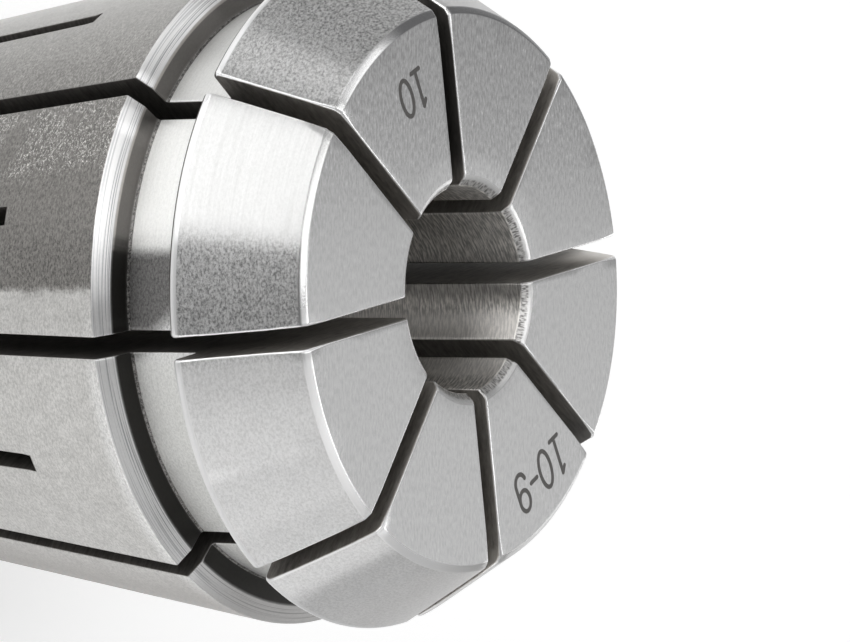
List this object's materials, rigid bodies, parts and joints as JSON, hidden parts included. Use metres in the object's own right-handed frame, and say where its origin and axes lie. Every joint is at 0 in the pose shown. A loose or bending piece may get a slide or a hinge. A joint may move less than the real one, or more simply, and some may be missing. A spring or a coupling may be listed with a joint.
{
  "type": "er collet",
  "caption": "Slit steel spring collet: a long taper, a nut groove and a nose cone close its bore on a round tool shank.",
  "frame": {"origin": "centre of the small rear face, on the axis of the bore", "axes": "+Z along the axis from the rear face to the nose, +X through the middle of one nose slot"},
  "size_m": [0.033, 0.033, 0.04],
  "materials": {
    "ground_steel": "hardened steel, finely ground and bare"
  },
  "bodies": {
    "root": {"collet": "ground_steel"}
  },
  "joints": []
}
